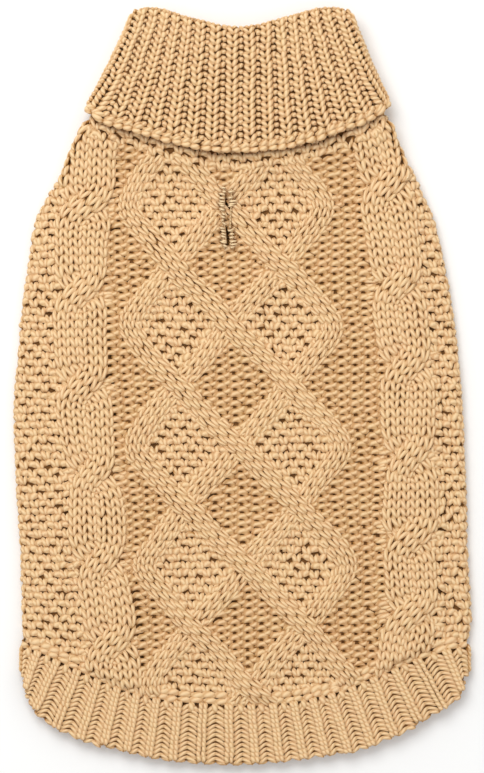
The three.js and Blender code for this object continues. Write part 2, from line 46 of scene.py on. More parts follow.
# The body lies flat: how thick it is, and how it climbs onto the turned-down collar
body = {
    "halfDepth": 3.3,
    "neckSeamY": 153.4,
    "tubeLift": 3.45,
    "settleStart": 6.0,
    "settle": 18.0,
    "reliefGrowth": 16.0,
    "reliefUnderFlap": 0.5,
    "hemReliefFade": 5.0,
    "underFold": 22.0,
}

# The leash slit in the back parts the yarn, and is bound on both sides with a finer, paler thread
slit = {"x": -7.7, "bottom": 74.0, "top": 106.2, "gap": 1.2, "step": 1.6, "halfWidth": 0.6}

# y, left side, left cable, lattice, spacing of its crossings, right cable, right side
bodyRows = np.array([
    [153.4, -75.6, -73.4, -11.4, 24.6, 65.5, 71.8],
    [147.0, -77.2, -74.7, -11.3, 24.8, 66.8, 74.0],
    [143.9, -79.8, -76.1, -11.1, 24.9, 67.6, 75.0],
    [138.5, -84.2, -78.2, -10.9, 25.1, 69.7, 78.7],
    [124.8, -90.9, -80.8, -10.3, 25.3, 72.9, 84.0],
    [112.1, -96.2, -82.4, -9.8, 25.4, 75.5, 90.9],
    [99.4, -104.1, -83.5, -9.3, 25.7, 77.1, 96.7],
    [86.7, -110.0, -84.0, -8.7, 25.9, 78.7, 102.0],
    [73.9, -112.1, -85.1, -8.2, 26.1, 80.3, 104.9],
    [48.5, -115.8, -86.1, -7.2, 26.6, 82.4, 110.0],
    [16.7, -119.0, -85.6, -5.6, 26.9, 86.1, 114.2],
    [-8.7, -121.0, -84.0, -4.0, 27.0, 87.7, 116.3],
    [-46.9, -120.0, -79.2, -1.3, 27.0, 88.8, 117.9],
    [-91.4, -117.4, -75.5, 1.3, 26.5, 88.8, 119.2],
    [-123.2, -116.5, -70.8, 2.9, 26.5, 89.3, 121.0],
    [-136.5, -116.3, -69.2, 3.4, 26.5, 86.1, 119.0],
    [-167.5, -116.3, -66.0, 4.5, 26.5, 80.8, 119.0],
])

# Share of the width, then x and y of the collar's top fold, then x and y of its free edge
collarRows = np.array([
    [0.0, -61.2, 193.7, -82.9, 147.1],
    [0.05, -58.0, 199.0, -73.9, 140.2],
    [0.15, -46.9, 199.7, -58.0, 135.7],
    [0.3, -28.9, 194.8, -33.7, 128.5],
    [0.5, -0.8, 190.0, -1.3, 124.8],
    [0.7, 26.2, 195.8, 29.4, 128.5],
    [0.85, 44.3, 200.0, 54.3, 136.5],
    [0.95, 57.0, 199.0, 70.2, 143.1],
    [1.0, 60.2, 193.7, 77.6, 150.3],
])

# Share of the width, then x and y where the hem band joins the body, then x and y where it ends
hemRows = np.array([
    [0.0, -116.3, -136.5, -116.3, -150.8],
    [0.06, -106.3, -139.9, -114.7, -161.4],
    [0.12, -95.7, -145.0, -108.4, -174.1],
    [0.2, -79.8, -152.4, -90.4, -184.7],
    [0.3, -59.6, -160.3, -66.0, -192.1],
    [0.4, -35.2, -165.6, -38.4, -198.0],
    [0.5, -1.3, -167.2, 0.3, -200.0],
    [0.6, 27.8, -165.6, 33.7, -196.4],
    [0.7, 50.6, -160.3, 60.7, -192.1],
    [0.8, 72.9, -151.3, 85.1, -182.6],
    [0.88, 88.8, -144.4, 103.6, -172.0],
    [0.94, 105.0, -138.9, 115.3, -162.4],
    [1.0, 119.0, -136.5, 119.0, -150.8],
])


def smoothCurve(rows, key, column):
    order = np.argsort(rows[:, key])
    keys = rows[order, key]
    values = rows[order, column]
    slopes = np.gradient(values, keys)
    slopes[1:-1] = (values[2:] - values[:-2]) / (keys[2:] - keys[:-2])

    def valueAt(at):
        at = np.clip(at, keys[0], keys[-1])
        row = np.clip(np.searchsorted(keys, at, side="right") - 1, 0, len(keys) - 2)
        width = keys[row + 1] - keys[row]
        share = (at - keys[row]) / width
        rise = values[row + 1] - values[row]
        bend = share * (1 - share)
        leaving = (1 - share) * (slopes[row] * width - rise)
        arriving = share * (slopes[row + 1] * width - rise)
        return values[row] + rise * share + bend * (leaving - arriving)

    return valueAt


def softStep(share):
    share = np.clip(share, 0, 1)
    return share * share * (3 - 2 * share)


def blend(first, second, share):
    return first + (second - first) * share


bodyLine = {
    name: smoothCurve(bodyRows, 0, column)
    for column, name in enumerate(["y", "left", "leftCable", "lattice", "spacing", "rightCable", "right"])
    if column > 0
}
flapEdgeY = smoothCurve(collarRows, 3, 4)
hemJoinY = smoothCurve(hemRows, 1, 2)


def bellyJoinY(x):
    first, last = hemRows[0], hemRows[-1]
    share = np.clip((x - first[1]) / (last[1] - first[1]), 0, 1)
    return first[2] + 10.6 * np.sin(np.pi * share)


def bodyLift(x, y):
    return body["tubeLift"] * (1 - softStep((flapEdgeY(x) - body["settleStart"] - y) / body["settle"]))


# Cables and lattice stand lower under the collar and just above the hem
def reliefShare(x, y):
    edge = flapEdgeY(x)
    fromSeam = np.clip((body["neckSeamY"] - y) / np.maximum(body["neckSeamY"] - edge, 1), 0, 1)
    underFlap = body["reliefUnderFlap"] * fromSeam
    grown = underFlap + (1 - body["reliefUnderFlap"]) * softStep((edge - y) / body["reliefGrowth"])
    return grown * softStep((y - hemJoinY(x)) / body["hemReliefFade"] + 0.35)


# Hand-made wander of the wales and rows over the whole panel
def drift(x, y):
    sideways = 0.6 * np.sin(0.071 * x + 0.113 * y + 1.3) + 0.45 * np.sin(0.153 * x - 0.067 * y + 0.4)
    lengthways = 0.5 * np.sin(0.093 * x + 0.051 * y) + 0.4 * np.sin(0.041 * x - 0.137 * y + 2.1)
    return sideways, lengthways


# A point of the back. Past either side x carries on round the fold and then underneath.
def backPoint(x, y, rise):
    sideways, lengthways = drift(x, y)
    x = x + sideways
    y = y + lengthways
    left = bodyLine["left"](y) + body["halfDepth"]
    right = bodyLine["right"](y) - body["halfDepth"]
    flat = np.clip(x, left, right)
    side = np.sign(x - flat)
    beyond = np.abs(x - flat)
    angle = np.minimum(beyond / body["halfDepth"], np.pi)
    under = np.maximum(beyond - np.pi * body["halfDepth"], 0)
    reach = body["halfDepth"] + rise * np.maximum(np.cos(angle), 0)
    px = flat + side * (reach * np.sin(angle) - under)
    pz = bodyLift(flat, y) + body["halfDepth"] + reach * np.cos(angle)
    return np.stack([px, y, pz], axis=-1)


# Yarn. Each stitch is one or more short lengths of yarn, and all of these are copies of one grain.
def makeGrain(around, along):
    bm = bmesh.new()
    bm.loops.layers.uv.new("yarn")
    bmesh.ops.create_uvsphere(bm, u_segments=around, v_segments=along, radius=1, calc_uvs=True)
    bm.verts.ensure_lookup_table()
    uvLayer = bm.loops.layers.uv["yarn"]
    places = np.array([vertex.co[:] for vertex in bm.verts])
    loops = [loop for face in bm.faces for loop in face.loops]
    grain = {
        "places": places,
        "corners": np.array([loop.vert.index for loop in loops]),
        "uvs": np.array([loop[uvLayer].uv[:] for loop in loops]),
        "sizes": np.array([len(face.verts) for face in bm.faces]),
    }
    bm.free()
    station = places[:, 2]
    ring = np.hypot(places[:, 0], places[:, 1])
    plump = np.clip(1 - station ** 2, 0, 1) ** 0.56 / np.maximum(ring, 1e-6)
    grain["places"][:, 0] *= np.where(ring > 1e-6, plump, 0)
    grain["places"][:, 1] *= np.where(ring > 1e-6, plump, 0)
    return grain


fineGrain = makeGrain(6, 7)
plainGrain = makeGrain(5, 5)


def unit(vectors):
    return vectors / np.maximum(np.linalg.norm(vectors, axis=-1, keepdims=True), 1e-9)


def surfaceFrame(surface, u, v):
    step = 0.02
    point = surface(u, v)
    across = surface(u + step, v) - surface(u - step, v)
    along = surface(u, v + step) - surface(u, v - step)
    return point, unit(np.cross(across, along))


class YarnPiece:
    # Gathers lengths of yarn that lie on surfaces and joins them into one mesh
    def __init__(self, name, grain, sink):
        self.name = name
        self.grain = grain
        self.sink = sink
        self.points = []
        self.paintedLights = []
        self.tones = []

    # us, vs and heights hold the start, the middle and the end of each length
    def lay(self, surface, us, vs, heights, halfWidth, halfHeight, paintedLightScale=1.0, taper=0.0):
        if len(us) == 0:
            return
        us, vs, heights = np.broadcast_arrays(us, vs, heights)
        ends, normals = surfaceFrame(surface, us, vs)
        x, y, z = ends[:, 1].T
        inSlit = (np.abs(x - slit["x"]) < slit["gap"]) & (y > slit["bottom"]) & (y < slit["top"]) & (z > 4)
        whole = ~inSlit
        ends, normals, heights = ends[whole], normals[whole], heights[whole]
        paintedLightScale = np.broadcast_to(paintedLightScale, len(us))[whole]
        count = len(ends)
        heights = heights - self.sink
        pressed = np.maximum(heights + halfHeight - 0.15, 0) * np.clip(-1.5 * normals[..., 2], 0, 1)
        ends = ends + normals * (heights - pressed)[..., None]
        start, middle, end = ends[:, 0], ends[:, 1], ends[:, 2]
        station = self.grain["places"][:, 2][None, :, None]
        half = ((end - start) / 2)[:, None]
        bend = ((start + end) / 2 - middle)[:, None]
        centre = middle[:, None] + station * half + station ** 2 * bend
        tangent = half + 2 * station * bend
        up = normals[:, 1][:, None] + station * ((normals[:, 2] - normals[:, 0]) / 2)[:, None]
        up = unit(up)
        side = unit(np.cross(up, tangent))
        width = (halfWidth * random.normal(1, 0.06, count))[:, None, None] * (1 + taper * station)
        height = (halfHeight * np.ones(count))[:, None, None]
        places = self.grain["places"]
        points = centre + places[None, :, 0:1] * width * side + places[None, :, 1:2] * height * up
        points[..., 2] = np.maximum(points[..., 2], -0.2)
        self.points.append(points)
        # Painted light and shade: each length is painted lighter along its top and darker down its sides, underside
        # and ends, and the scale given for the piece makes all of it lighter or darker
        upward = 0.5 + 0.5 * places[:, 1]
        ending = 1 - 0.5 * np.abs(places[:, 2]) ** 6
        paintedLight = (0.30 + 0.70 * upward) * ending
        self.paintedLights.append(paintedLightScale[:, None] * paintedLight[None])
        tone = random.uniform(0, 1, count)
        self.tones.append(np.repeat(tone[:, None], len(paintedLight), axis=1))

    def build(self, material):
        points = np.concatenate(self.points) * millimetre
        count = len(points)
        perGrain = len(self.grain["places"])
        corners = self.grain["corners"]
        sizes = self.grain["sizes"]
        mesh = bpy.data.meshes.new(self.name)
        mesh.vertices.add(count * perGrain)
        mesh.vertices.foreach_set("co", points.astype(np.float32).ravel())
        mesh.loops.add(count * len(corners))
        firsts = np.arange(count)[:, None] * perGrain
        mesh.loops.foreach_set("vertex_index", (firsts + corners[None]).astype(np.int32).ravel())
        mesh.polygons.add(count * len(sizes))
        starts = np.concatenate([[0], np.cumsum(sizes)[:-1]])
        allStarts = np.arange(count)[:, None] * len(corners) + starts[None]
        mesh.polygons.foreach_set("loop_start", allStarts.astype(np.int32).ravel())
        mesh.polygons.foreach_set("use_smooth", np.ones(count * len(sizes), bool))
        uvs = np.broadcast_to(self.grain["uvs"][None], (count, len(corners), 2))
        mesh.uv_layers.new(name="yarn").data.foreach_set("uv", uvs.astype(np.float32).ravel())
        # The painted light and shade go to the material as a vertex attribute, beside the random tone
        for name, values in (("paintedLight", self.paintedLights), ("tone", self.tones)):
            attribute = mesh.attributes.new(name, "FLOAT", "POINT")
            attribute.data.foreach_set("value", np.concatenate(values).astype(np.float32).ravel())
        mesh.update(calc_edges=True)
        mesh.validate()
        mesh.materials.append(material)
        piece = bpy.data.objects.new(self.name, mesh)
        bpy.context.scene.collection.objects.link(piece)
        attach(piece, "root")
        triangles = count * int(np.sum(sizes - 2))
        print(f"{self.name}: {count} lengths of yarn, {triangles} triangles")
        return piece


def wander(count, amount):
    return np.clip(random.normal(0, amount, count), -2 * amount, 2 * amount)


def three(first, second, third):
    return np.stack(np.broadcast_arrays(first, second, third), axis=-1).astype(float)


def grid(uFirst, uLast, vFirst, vLast):
    u, v = np.meshgrid(np.arange(uFirst, uLast + 1), np.arange(vFirst, vLast + 1))
    return u.ravel().astype(float), v.ravel().astype(float)


# How the lengths of yarn of each stitch lie, in shares of a stitch's width and row, and dives in millimetres
knitLook = {
    "inner": 0.04,
    "belly": 0.24,
    "outer": 0.42,
    "foot": -0.70,
    "head": 0.82,
    "stagger": 0.0,
    "jitter": 0.03,
    "footDive": 0.0,
    "crown": 0.25,
    "dive": 0.5,
    "halfHeight": 1.2,
    "taper": 0.06,
}
strandLook = dict(knitLook, inner=0.09, outer=0.39, foot=-0.68, head=0.80, stagger=0.10, footDive=0.3, dive=0.5)
collarLook = dict(knitLook, inner=0.0, belly=0.18, outer=0.37, foot=-0.70, head=0.82, footDive=-0.15)
collarLook.update(crown=0.3, dive=0.2, halfHeight=1.3)
hemLook = dict(knitLook, inner=0.06, belly=0.085, outer=0.105, foot=-0.9, head=1.2, dive=0.4, crown=0.45)
hemLook["jitter"] = 0.012
purlLook = {"reach": 0.57, "arch": 0.25, "drop": -0.32, "dive": 0.6, "crown": 0.4, "halfHeight": 1.25}


# A knit stitch is a V of two legs that come up out of the stitch below
def knitStitches(piece, surface, u, v, halfWidth, look=knitLook, paintedLightScale=1.0):
    u = u + wander(len(u), look["jitter"])
    v = v + wander(len(v), 0.04)
    for side in (-1, 1):
        us = three(u + side * look["inner"], u + side * look["belly"], u + side * look["outer"])
        vs = three(v + look["foot"], v + 0.05, v + look["head"]) + side * look["stagger"]
        crown = look["crown"] + wander(len(u), 0.12)
        heights = three(-look["footDive"], crown, -look["dive"])
        piece.lay(surface, us, vs, heights, halfWidth, look["halfHeight"], paintedLightScale, look["taper"])


# A purl stitch is the head of a loop, arched, with the feet of its neighbours hanging between heads
def purlStitches(piece, surface, u, v, halfWidth, look=purlLook, paintedLightScale=1.0):
    u = u + wander(len(u), 0.03)
    v = v + wander(len(v), 0.05)
    crown = look["crown"] + wander(len(u), 0.15)
    us = three(u - look["reach"], u, u + look["reach"])
    vs = three(v + look["drop"], v + look["arch"], v + look["drop"])
    piece.lay(surface, us, vs, three(-look["dive"], crown, -look["dive"]), halfWidth, look["halfHeight"], paintedLightScale)
    us = three(u + 0.5 - 0.42, u + 0.5, u + 0.5 + 0.42)
    vs = three(v - 0.12, v - 0.50, v - 0.12)
    heights = three(-look["dive"], crown - 0.1, -look["dive"])
    piece.lay(surface, us, vs, heights, halfWidth * 0.9, look["halfHeight"], paintedLightScale)


# Moss stitch: knit and purl stitches by turns, each knit one set back between raised purl ones
def mossStitches(piece, surface, u, v, halfWidth, paintedLightScale=1.0):
    purled = (np.round(u + v) % 2 == 0)
    pu = u[purled] + wander(purled.sum(), 0.09)
    pv = v[purled] + wander(purled.sum(), 0.09)
    tilt = wander(len(pu), 0.22)
    reach = 0.66 + wander(len(pu), 0.06)
    us = three(pu - reach, pu, pu + reach)
    vs = three(pv - 0.30 + tilt, pv + 0.18, pv - 0.30 - tilt)
    crown = 0.65 + wander(len(pu), 0.25)
    piece.lay(surface, us, vs, three(-0.4, crown, -0.4), halfWidth * 1.36, 1.3, paintedLightScale)
    ku = u[~purled] + wander((~purled).sum(), 0.08)
    kv = v[~purled] + wander((~purled).sum(), 0.08)
    for side in (-1, 1):
        us = three(ku + side * 0.04, ku + side * 0.26, ku + side * 0.46)
        vs = three(kv - 0.74, kv, kv + 0.76)
        piece.lay(surface, us, vs, three(-0.4, 0.4, -0.5), halfWidth * 1.08, 1.2, paintedLightScale)


# Cables
cable = {
    "rise": 3.9,
    "lift": 1.3,
    "strandSpacing": 7.2,
    "wale": 5.0,
    "row": 4.75,
    "halfWidth": 1.4,
    "crossingHeight": 29.0,
    "panelHalfWidth": 15.4,
    "loopHalfWidth": 1.75,
    "leftCrossings": [144, 96.7, 51.1, 1.9, -45.8, -93.0, -134.9],
    "rightCrossings": [152, 106.8, 54.9, 11.4, -36.8, -79.8, -119.5],
}


def cableTurns(y, crossings):
    turns = 0
    for level in crossings:
        share = np.clip((level - y) / cable["crossingHeight"] + 0.5, 0, 1)
        turns = turns + blend(share, softStep(share), 0.5)
    return turns


def pulledSurface(x, y):
    return backPoint(x, y, 0.0)


class CableStrand:
    def __init__(self, name, crossings, side):
        self.name = name
        self.crossings = crossings
        self.side = side

    def path(self, y):
        sideways = np.cos(np.pi * cableTurns(y, self.crossings))
        return bodyLine[self.name](y) + self.side * cable["strandSpacing"] * sideways

    def above(self, y):
        return self.side * np.sin(np.pi * cableTurns(y, self.crossings))

    def slope(self, y):
        return self.path(y + 0.5) - self.path(y - 0.5)

    def place(self, u, v):
        y = v * cable["row"]
        slope = self.slope(y)
        length = np.hypot(1, slope)
        offset = u * cable["wale"]
        return self.path(y) + offset / length, y - offset * slope / length, offset, self.above(y)

    def surface(self, u, v):
        x, y, offset, above = self.place(u, v)
        crossing = softStep(np.abs(above) * 1.4)
        panelShare = np.clip(np.abs(x - bodyLine[self.name](y)) / cable["panelHalfWidth"], 0, 1)
        panel = cable["rise"] * (1 - panelShare ** 4) ** 0.5
        strandShare = np.clip(np.abs(offset) / 8.4, 0, 1)
        strand = (cable["rise"] + cable["lift"] * above) * np.sqrt(1 - strandShare ** 2)
        return backPoint(x, y, blend(panel, strand, crossing) * reliefShare(x, y))

    def distance(self, x, y):
        return np.abs(x - self.path(y)) / np.hypot(1, self.slope(y))


def onBack(x, y):
    return (y > hemJoinY(x) + 0.4) & (y < flapEdgeY(x) + 7)


def makeCable(name, line, crossings, material):
    piece = YarnPiece(name, fineGrain, 0.7)
    strands = [CableStrand(line, crossings, side) for side in (-1, 1)]
    for strand, other in (strands, strands[::-1]):
        u, v = grid(-1, 1, -37, 34)
        x, y, offset, above = strand.place(u, v)
        hidden = (above < -0.12) & (other.distance(x, y) < 3.6)
        keep = onBack(x, y) & belowNeckStrip(x, y) & ~hidden
        # The cable's painted light is scaled up a little, so its lengths are painted a little lighter
        knitStitches(piece, strand.surface, u[keep], v[keep], cable["halfWidth"], paintedLightScale=1.02)
    # Beside each crossing the loops of the ground are drawn in towards the strands
    for side in (-1, 1):
        for level in crossings:
            rows = np.array([-1.5, -0.5, 0.5, 1.5]) + wander(4, 0.15)
            near = side * 7.6 + wander(4, 0.8)
            far = side * 18.0 + wander(4, 1.2)
            middle = bodyLine[line](level)
            us = three(middle + near, middle + (near + far) / 2, middle + far)[:, ::side]
            vs = three(level + rows * 3.2, level + rows * 4.0 + 0.5, level + rows * 4.5)[:, ::side]
            keep = onBack(us[:, 1], vs[:, 1]) & belowNeckStrip(us[:, 1], vs[:, 1])
            heights = three(0.2, 1.3, -0.2)
            piece.lay(pulledSurface, us[keep], vs[keep], heights, cable["loopHalfWidth"], 1.2)
    return piece.build(material)


# Lattice
lattice = {
    "rise": 2.8,
    "lift": 1.2,
    "wale": 4.1,
    "row": 4.6,
    "halfWidth": 1.24,
    "levelHeight": 32.0,
    "firstLevelY": 97.3,
    "sharpness": 0.985,
    "strandHalfWidth": 6.4,
}


def latticePlace(x, y):
    return (x - bodyLine["lattice"](y)) / bodyLine["spacing"](y), (lattice["firstLevelY"] - y) / lattice["levelHeight"]


class LatticeStrand:
    def __init__(self, index):
        self.index = index

    def swing(self, y):
        level = (lattice["firstLevelY"] - y) / lattice["levelHeight"]
        return np.pi * (level + 2 * self.index) / 4

    def crossingPlace(self, y):
        sharpness = lattice["sharpness"]
        return -2 * np.arcsin(sharpness * np.cos(self.swing(y))) / math.asin(sharpness)

    def path(self, y):
        return bodyLine["lattice"](y) + self.crossingPlace(y) * bodyLine["spacing"](y)

    def slope(self, y):
        return self.path(y + 0.5) - self.path(y - 0.5)

    # Above 0 where this strand passes over its neighbour, and below 0 where it passes under
    def above(self, y):
        level = (lattice["firstLevelY"] - y) / lattice["levelHeight"]
        nearness = np.maximum(0, 1 - 2 * np.abs(level - np.round(level)))
        over = np.sign(np.sin(self.swing(y))) * np.minimum(1, np.abs(np.sin(self.swing(y))) * 1.4)
        return np.where(np.abs(self.crossingPlace(y)) < 1.6, over * nearness, 0)

    def place(self, u, v):
        y = v * lattice["row"]
        slope = self.slope(y)
        length = np.hypot(1, slope)
        offset = u * lattice["wale"]
        return self.path(y) + offset * length, y, offset, self.above(y)

    def surface(self, u, v):
        x, y, offset, above = self.place(u, v)
        share = np.clip(np.abs(offset) / lattice["strandHalfWidth"], 0, 1)
        rise = (lattice["rise"] + lattice["lift"] * above) * np.sqrt(1 - share ** 2)
        return backPoint(x, y, rise * reliefShare(x, y))

    def distance(self, x, y):
        return np.abs(x - self.path(y)) / np.hypot(1, self.slope(y))


latticeStrands = [LatticeStrand(index) for index in range(4)]
leftStrands = [CableStrand("leftCable", cable["leftCrossings"], side) for side in (-1, 1)]
rightStrands = [CableStrand("rightCable", cable["rightCrossings"], side) for side in (-1, 1)]

# The strands start a little below the collar's edge, under a strip of moss stitch
neckStrip = 7.5


def belowNeckStrip(x, y):
    return y < flapEdgeY(x) - neckStrip


def makeLattice(material):
    piece = YarnPiece("latticeStrands", fineGrain, 0.7)
    for strand in latticeStrands:
        u, v = grid(-1, 1, -37, 34)
        x, y, offset, above = strand.place(u, v)
        hidden = np.zeros(len(x), bool)
        for other in latticeStrands:
            if other is not strand:
                otherOver = np.sin(other.swing(y)) > 0
                hidden |= (above < -0.05) & otherOver & (other.distance(x, y) < 3.4)
        keep = onBack(x, y) & belowNeckStrip(x, y) & ~hidden
        knitStitches(piece, strand.surface, u[keep], v[keep], lattice["halfWidth"], strandLook)
    return piece.build(material)


# Ground between the cables, in purl, with moss stitch in the small diamonds
ground = {
    "wale": 7.15,
    "row": 4.3,
    "halfWidth": 1.9,
    "mossWale": 4.1,
    "mossRow": 4.1,
    "mossHalfWidth": 1.5,
    "neckWale": 4.3,
    "neckRow": 4.3,
    "neckHalfWidth": 1.4,
}


def coveredByStrand(x, y, margin):
    covered = np.zeros(np.shape(x), bool)
    for strand in latticeStrands:
        covered |= strand.distance(x, y) < lattice["strandHalfWidth"] + margin
    return covered & belowNeckStrip(x, y)


def betweenCables(x, y, margin):
    clear = np.ones(np.shape(x), bool)
    for strand in leftStrands + rightStrands:
        clear &= strand.distance(x, y) > 7.4 + margin
    return clear & (x > bodyLine["leftCable"](y)) & (x < bodyLine["rightCable"](y))


def inMossDiamond(x, y):
    place, level = latticePlace(x, y)
    fromEven = np.abs(level - 2 * np.round(level / 2))
    return np.abs(np.abs(place) - 1) + fromEven < 1


def strandRelief(x, y, wider=0.0):
    height = np.zeros(np.shape(x))
    for strand in latticeStrands:
        share = np.clip(strand.distance(x, y) / (lattice["strandHalfWidth"] + wider), 0, 1)
        height = np.maximum(height, lattice["rise"] * np.sqrt(1 - share ** 2))
    for strand in leftStrands + rightStrands:
        share = np.clip(strand.distance(x, y) / (8.2 + wider), 0, 1)
        height = np.maximum(height, cable["rise"] * np.sqrt(1 - share ** 2))
    return height * reliefShare(x, y)


# The ground climbs a little at the foot of each cable and strand
def groundPoint(x, y):
    return backPoint(x, y, 0.5 * strandRelief(x, y, 2.4))


def groundSurface(wale, row):
    def surface(u, v):
        y = v * row
        return groundPoint(bodyLine["lattice"](y) + u * wale, y)
    return surface


def makeGround(material):
    piece = YarnPiece("purlGround", fineGrain, 0.7)
    surface = groundSurface(ground["wale"], ground["row"])
    u, v = grid(-13, 13, -38, 35)
    y = v * ground["row"]
    x = bodyLine["lattice"](y) + u * ground["wale"]
    here = onBack(x, y) & belowNeckStrip(x, y)
    keep = here & betweenCables(x, y, -3.2) & ~coveredByStrand(x, y, -4.4) & ~inMossDiamond(x, y)
    # The low purl ground is painted a tenth darker, as painted shade
    purlStitches(piece, surface, u[keep], v[keep], ground["halfWidth"], paintedLightScale=0.9)
    moss = YarnPiece("mossDiamonds", fineGrain, 0.7)
    surface = groundSurface(ground["mossWale"], ground["mossRow"])
    u, v = grid(-22, 22, -39, 36)
    y = v * ground["mossRow"]
    x = bodyLine["lattice"](y) + u * ground["mossWale"]
    here = onBack(x, y) & belowNeckStrip(x, y)
    keep = here & betweenCables(x, y, -2.0) & ~coveredByStrand(x, y, -3.6) & inMossDiamond(x, y)
    mossStitches(moss, surface, u[keep], v[keep], ground["mossHalfWidth"])
    return [piece.build(material), moss.build(material)]


# Under the collar's edge a strip of large moss stitch crosses the whole back
def makeNeckStrip(material):
    piece = YarnPiece("neckStrip", fineGrain, 0.7)
    wale, row = ground["neckWale"], ground["neckRow"]

    def place(u, v):
        return u * wale, flapEdgeY(u * wale) + v * row + 1.2

    def surface(u, v):
        x, y = place(u, v)
        return backPoint(x, y, 0.3 + strandRelief(x, y))

    u, v = grid(-22, 22, -2, 1)
    x, y = place(u, v)
    keep = (x > bodyLine["left"](y) - 4) & (x < bodyLine["right"](y) + 4)
    mossStitches(piece, surface, u[keep], v[keep], ground["neckHalfWidth"])
    return piece.build(material)


# Moss stitch from each cable round the side fold to the side seam underneath
def makeSideMoss(name, line, side, material):
    piece = YarnPiece(name, fineGrain, 0.7)
    wale, row = ground["mossWale"], ground["mossRow"]

    def place(u, v):
        y = v * row
        return bodyLine[line](y) + side * 16.0 + u * wale, y

    def surface(u, v):
        x, y = place(u, v)
        return groundPoint(x, y)

    u, v = grid(-20, 20, -39, 36)
    x, y = place(u, v)
    edge = bodyLine["left" if side < 0 else "right"](y) - side * body["halfDepth"]
    beyond = side * (x - edge)
    seam = np.pi * body["halfDepth"] + body["underFold"] - body["halfDepth"]
    strands = leftStrands if side < 0 else rightStrands
    clear = np.minimum(strands[0].distance(x, y), strands[1].distance(x, y)) > 5.4
    outside = (side * (x - bodyLine[line](y)) > 6) & clear & (beyond < seam - 1.0)
    below = backPoint(x, y, 0.0)[:, 2] < body["halfDepth"]
    endY = np.where(below, bellyJoinY(x), hemJoinY(x))
    inStrip = ~below & ~belowNeckStrip(x, y)
    keep = outside & (y > endY + 2.5) & (y < flapEdgeY(x) + 7) & ~inStrip
    mossStitches(piece, surface, u[keep], v[keep], ground["mossHalfWidth"])
    return piece.build(material)


# Collar
collar = {
    "ribs": 14,
    "sideRibs": 2,
    "row": 3.55,
    "rows": 18.6,
    "ribRise": 1.7,
    "halfWidth": 1.45,
    "lean": 1.1,
    "leanReach": 7.0,
    "foldRadius": 3.3,
    "edgeTop": 16.0,
    "foldTop": 13.5,
    "tubeInner": 7.05,
    "tubeInnerBelow": 6.45,
}
collarColumn = [smoothCurve(collarRows, 0, column) for column in range(5)]


def ribProfile(u):
    fromGroove = np.abs(u - np.round(u))
    return softStep((fromGroove - 0.05) / 0.17)


# Ribs lean in towards the top fold, where those at each side come round on to the top
def leanRibs(u, v):
    half = collar["ribs"] + collar["sideRibs"]
    turned = np.mod(u + (collar["sideRibs"] + half) / 2, 2 * half)
    fromSide = (np.mod(turned, half) - half / 2) / collar["leanReach"]
    inwards = np.where(turned < half, 1, -1)
    share = np.clip(v / collar["rows"], 0, 1) * np.cos(np.pi / 2 * np.clip(fromSide, -1, 1)) ** 2
    return u + inwards * collar["lean"] * share


# u counts ribs from the left over the top, then down the right side and back underneath. v counts
# rows from the free edge up to the top fold and over it.
def collarPoint(u, v, rise):
    foldAngle = np.clip((v - collar["rows"]) * collar["row"] / collar["foldRadius"], 0, np.pi)
    along = np.clip(1 - v / collar["rows"], 0, 1)
    turned = (1 - np.cos(foldAngle)) / 2
    flapTop = blend(collar["foldTop"], collar["edgeTop"], along)
    top = blend(flapTop, collar["tubeInner"], turned)
    bottom = blend(0.0, collar["tubeInnerBelow"], turned)
    radius = (top - bottom) / 2
    middle = (top + bottom) / 2
    inset = turned * 6.6
    topX, edgeX = collarColumn[1], collarColumn[3]
    leftX = blend(topX(0.0), edgeX(0.0), along)
    rightX = blend(topX(1.0), edgeX(1.0), along)
    centreX = (leftX + rightX) / 2
    halfWidth = (rightX - leftX) / 2
    narrowing = 1 - inset / halfWidth
    sideShare = radius / (2 * halfWidth * narrowing)
    ribs, sides = collar["ribs"], collar["sideRibs"]
    allRibs = 2 * (ribs + sides)
    u = np.mod(leanRibs(u, v), allRibs)
    onTop = u <= ribs
    onRight = (u > ribs) & (u <= ribs + sides)
    onBottom = (u > ribs + sides) & (u <= 2 * ribs + sides)
    onLeft = u > 2 * ribs + sides
    rightAngle = np.pi / 2 - np.pi * (u - ribs) / sides
    leftAngle = -np.pi / 2 + np.pi * (u - 2 * ribs - sides) / sides
    angle = np.where(onRight, rightAngle, np.where(onLeft, leftAngle, np.where(onTop, np.pi / 2, -np.pi / 2)))
    flatShare = np.where(onTop, u / ribs, np.where(onBottom, (2 * ribs + sides - u) / ribs, np.where(onLeft, 0, 1)))
    across = blend(sideShare, 1 - sideShare, flatShare)
    across = across + np.where(onRight, sideShare * np.cos(angle), 0) - np.where(onLeft, sideShare * np.cos(angle), 0)
    lineX = blend(topX(across), edgeX(across), along)
    x = centreX + (lineX - centreX) * narrowing
    x = x + rise * np.cos(angle) * np.where(onRight, 1, np.where(onLeft, -1, 0))
    y = blend(collarColumn[2](across) - collar["foldRadius"], collarColumn[4](across), along)
    y = y + (collar["foldRadius"] + 0.3 * rise) * np.sin(foldAngle)
    z = middle + (radius + rise * np.cos(foldAngle)) * np.sin(angle)
    return np.stack([x, y, z], axis=-1)


def collarSurface(u, v):
    ribs, sides = collar["ribs"], collar["sideRibs"]
    turned = np.mod(leanRibs(u, v) + sides, 2 * (ribs + sides))
    upper = softStep(turned / sides - 0.3) * softStep((ribs + 2 * sides - turned) / sides - 0.3)
    edgeFade = softStep(v / 2.2 + 0.15)
    return collarPoint(u, v, collar["ribRise"] * ribProfile(u) * edgeFade * upper)


def collarPlain(u, v):
    return collarPoint(u, v, 0.0)


